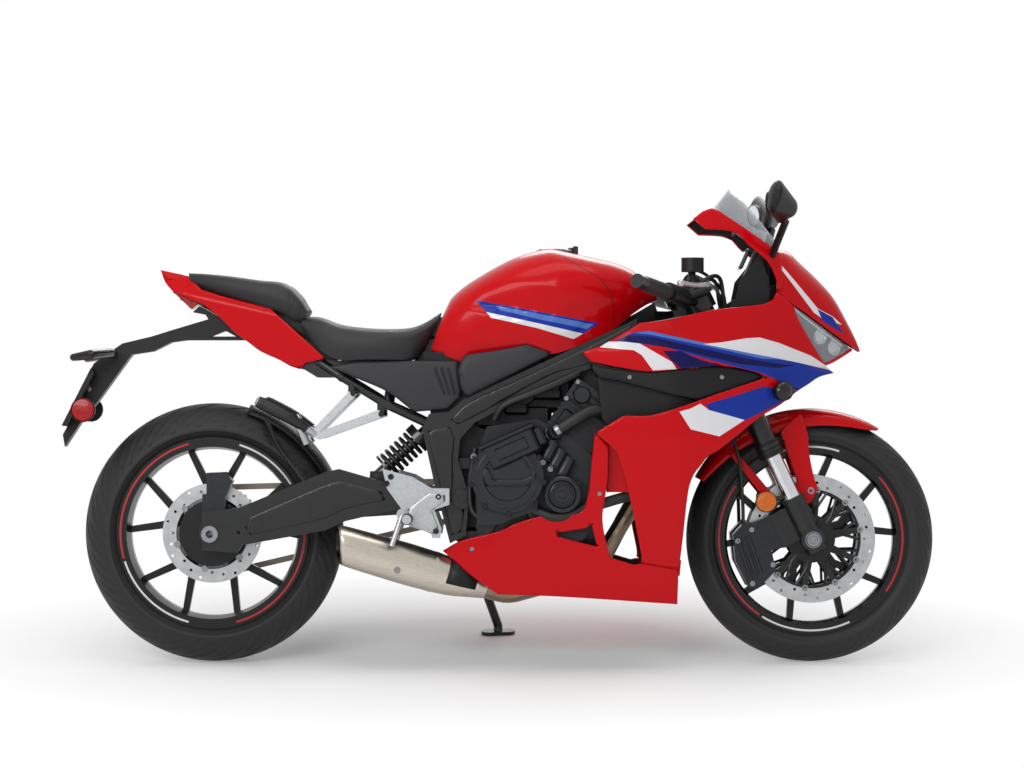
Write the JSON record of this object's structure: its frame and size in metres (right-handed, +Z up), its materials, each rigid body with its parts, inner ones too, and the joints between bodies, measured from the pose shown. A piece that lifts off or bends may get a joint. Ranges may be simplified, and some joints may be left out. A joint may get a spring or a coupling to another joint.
{
  "type": "sport motorcycle",
  "caption": "Fully faired sport motorcycle parked on its side stand, with steerable front fork, free-turning wheels, folding stand and hinged filler lid.",
  "frame": {"origin": "on the ground under the middle of the parked bike's bounding box", "axes": "+X forward along the bike, +Y to the rider's left, +Z up; the bike leans left onto its side stand by its parked lean"},
  "size_m": [2.1165, 0.8311, 1.199],
  "materials": {
    "red_paint": "gloss",
    "black_satin": "satin",
    "black_plastic": "matte",
    "grey_plastic": "matte",
    "seat_cover": "matte",
    "engine_metal": "satin",
    "cast_alloy": "cast",
    "bright_tube": "polished",
    "silencer_steel": "brushed",
    "header_steel": "heat tinted",
    "disc_steel": "ground",
    "tyre_rubber": "matte",
    "grip_rubber": "matte",
    "wheel_paint": "satin",
    "chain_steel": "oiled",
    "lamp_lens": "clear",
    "tail_lens": "gloss",
    "amber_lens": "gloss",
    "screen_clear": "clear",
    "lever_alloy": "satin"
  },
  "bodies": {
    "chassis": {"main_frame": "black_satin", "subframe": "black_satin", "swingarm": "black_satin", "rear_axle": "disc_steel", "rear_shock": "black_satin", "engine_cases": "engine_metal", "cylinder_head": "engine_metal", "clutch_cover": "engine_metal", "generator_cover": "engine_metal", "radiator": "engine_metal", "exhaust_headers": "header_steel", "silencer": "silencer_steel", "fuel_tank": "red_paint", "filler_ring": "cast_alloy", "knee_panels": "grey_plastic", "rider_seat": "seat_cover", "pillion_seat": "seat_cover", "side_panels": "black_plastic", "tail_cowl": "red_paint", "tail_lamp": "tail_lens", "plate_holder": "black_plastic", "rear_indicators": "amber_lens", "fairing_right": "red_paint", "fairing_left": "red_paint", "belly_right": "red_paint", "belly_left": "red_paint", "nose_cowl": "red_paint", "headlamps": "lamp_lens", "windscreen": "screen_clear", "cockpit": "black_plastic", "front_stay": "black_satin", "front_indicators": "amber_lens", "mirrors": "black_plastic", "footrests": "cast_alloy", "passenger_hangers": "cast_alloy", "drive_chain": "chain_steel", "rear_caliper": "black_satin"},
    "steering": {"steering_yokes": "black_satin", "fork_outers": "black_satin", "fork_inners": "bright_tube", "fork_bottoms": "black_satin", "front_axle": "disc_steel", "front_calipers": "black_satin", "front_fender": "red_paint", "handlebars": "black_satin", "grips": "grip_rubber", "controls": "black_plastic", "levers": "lever_alloy"},
    "front_wheel": {"front_rim": "wheel_paint", "front_tyre": "tyre_rubber", "front_discs": "disc_steel"},
    "rear_wheel": {"rear_rim": "wheel_paint", "rear_tyre": "tyre_rubber", "rear_disc": "disc_steel", "rear_sprocket": "chain_steel"},
    "side_stand": {"side_stand": "black_satin"},
    "fuel_cap": {"fuel_cap": "cast_alloy"}
  },
  "joints": [
    {"name": "steering", "type": "hinge", "parent": "chassis", "child": "steering", "pos_m": [0.47551, -0.03793, 0.79583], "axis": [-0.4305, 0.1567, 0.8889], "range_deg": [-28, 28]},
    {"name": "front_wheel_spin", "type": "hinge", "parent": "steering", "child": "front_wheel", "pos_m": [0.7595, -0.12599, 0.29639], "axis": [0, 0.9848, -0.1736], "continuous": true},
    {"name": "rear_wheel_spin", "type": "hinge", "parent": "chassis", "child": "rear_wheel", "pos_m": [-0.6895, -0.12347, 0.31067], "axis": [0, 0.9848, -0.1736], "continuous": true},
    {"name": "side_stand", "type": "hinge", "parent": "chassis", "child": "side_stand", "pos_m": [-0.07, 0.01522, 0.23342], "axis": [0.0385, 0.9218, 0.3857], "range_deg": [0, 88]},
    {"name": "fuel_cap", "type": "hinge", "parent": "chassis", "child": "fuel_cap", "pos_m": [0.19, -0.00305, 0.99364], "axis": [0, 0.9848, -0.1736], "range_deg": [0, 95]}
  ]
}
